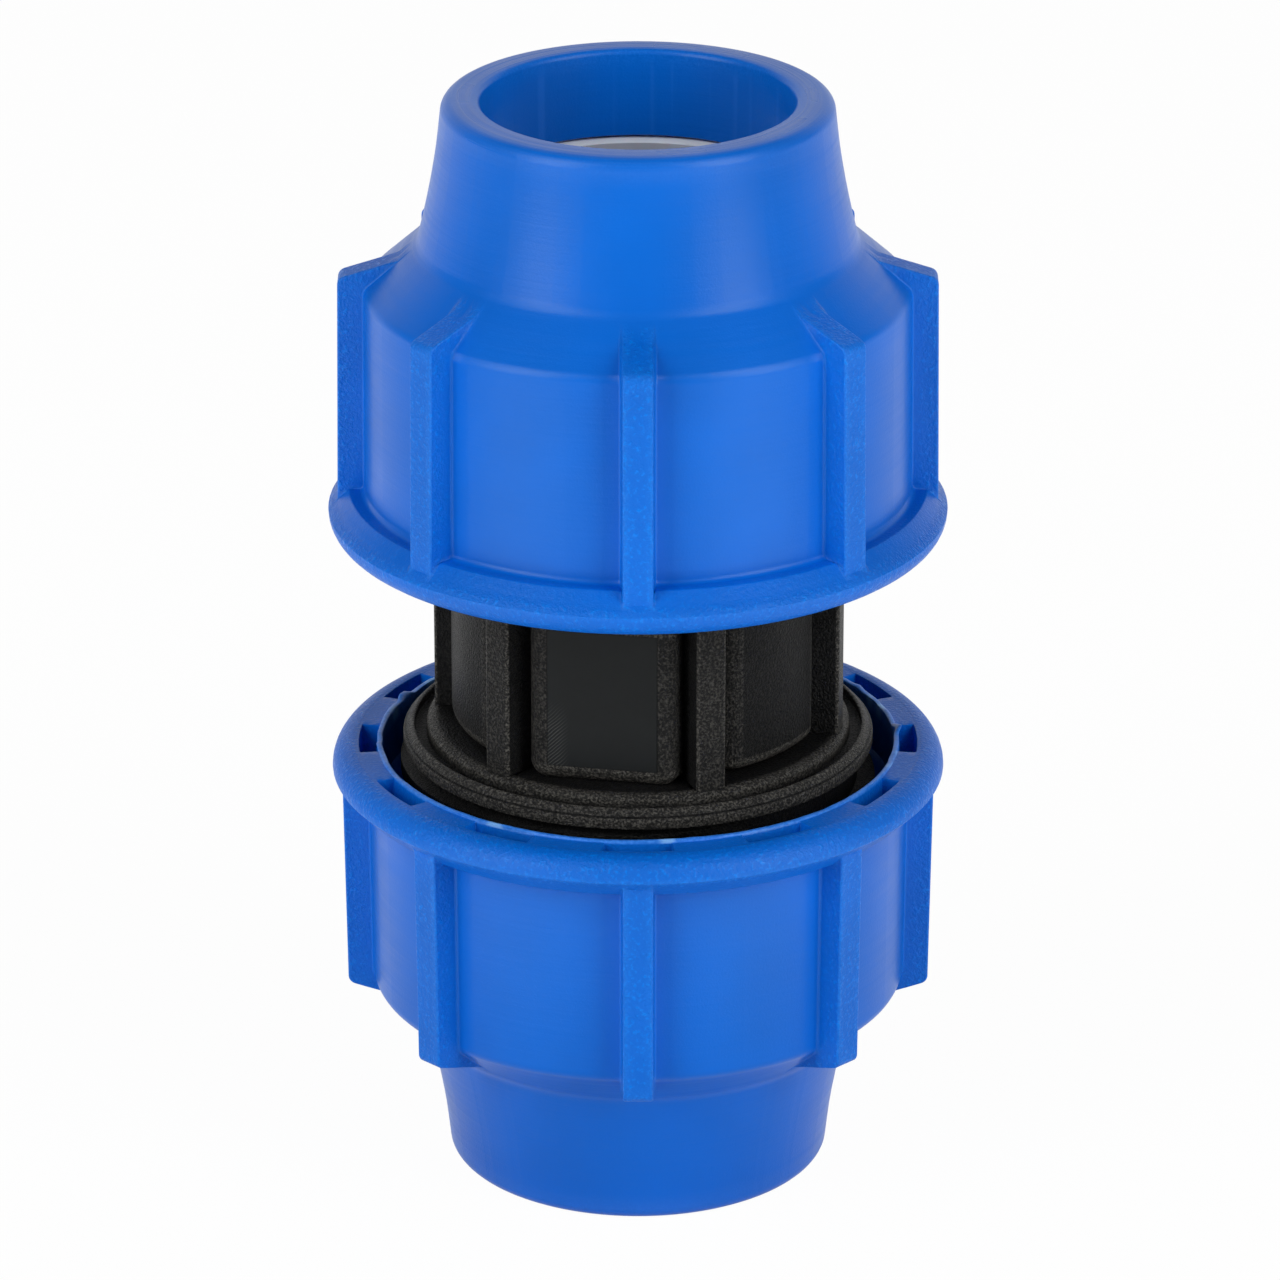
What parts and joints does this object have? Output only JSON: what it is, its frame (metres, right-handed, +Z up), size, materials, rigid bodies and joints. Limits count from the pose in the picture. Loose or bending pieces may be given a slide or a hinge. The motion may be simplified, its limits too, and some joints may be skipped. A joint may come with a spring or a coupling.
{
  "type": "compression coupling",
  "caption": "Straight compression coupling that joins plastic water pipes: a ribbed threaded body with screw nuts, split grip rings, thrust bushes and O-rings.",
  "frame": {"origin": "centre of the lower nut's end face, on which the coupling stands", "axes": "+Z up along the pipe's axis; -Y towards the viewer"},
  "size_m": [0.0654, 0.0654, 0.1194],
  "materials": {
    "black_body": "moulded black polypropylene, finely grained, satin",
    "blue_nut": "moulded blue polypropylene, finely grained, satin",
    "natural_ring": "natural white acetal, smooth",
    "black_bush": "moulded black polypropylene, smooth",
    "seal_rubber": "black nitrile rubber, smooth"
  },
  "bodies": {
    "coupling_body": {"body": "black_body", "upper_o_ring": "seal_rubber", "lower_o_ring": "seal_rubber"},
    "upper_clamp": {"upper_grip_ring": "natural_ring", "upper_thrust_bush": "black_bush"},
    "upper_screw_nut": {"upper_nut": "blue_nut"},
    "lower_clamp": {"lower_grip_ring": "natural_ring", "lower_thrust_bush": "black_bush"},
    "lower_screw_nut": {"lower_nut": "blue_nut"}
  },
  "joints": [
    {"name": "upper_clamp_slide", "type": "slide", "parent": "coupling_body", "child": "upper_clamp", "axis": [0, 0, 1], "range_m": [-0.00505, 0.00505]},
    {"name": "upper_nut_turn", "type": "hinge", "parent": "upper_clamp", "child": "upper_screw_nut", "pos_m": [0, 0, 0.0957], "axis": [0, 0, 1], "range_deg": [-360, 360]},
    {"name": "lower_clamp_slide", "type": "slide", "parent": "coupling_body", "child": "lower_clamp", "axis": [0, 0, -1], "range_m": [-0.00505, 0.00505]},
    {"name": "lower_nut_turn", "type": "hinge", "parent": "lower_clamp", "child": "lower_screw_nut", "pos_m": [0, 0, 0.0237], "axis": [0, 0, -1], "range_deg": [-360, 360]}
  ],
  "couplings": [
    {"joint": "upper_clamp_slide", "follows": "upper_nut_turn", "m_per_rad": 0.00079577},
    {"joint": "lower_clamp_slide", "follows": "lower_nut_turn", "m_per_rad": 0.00079577}
  ]
}
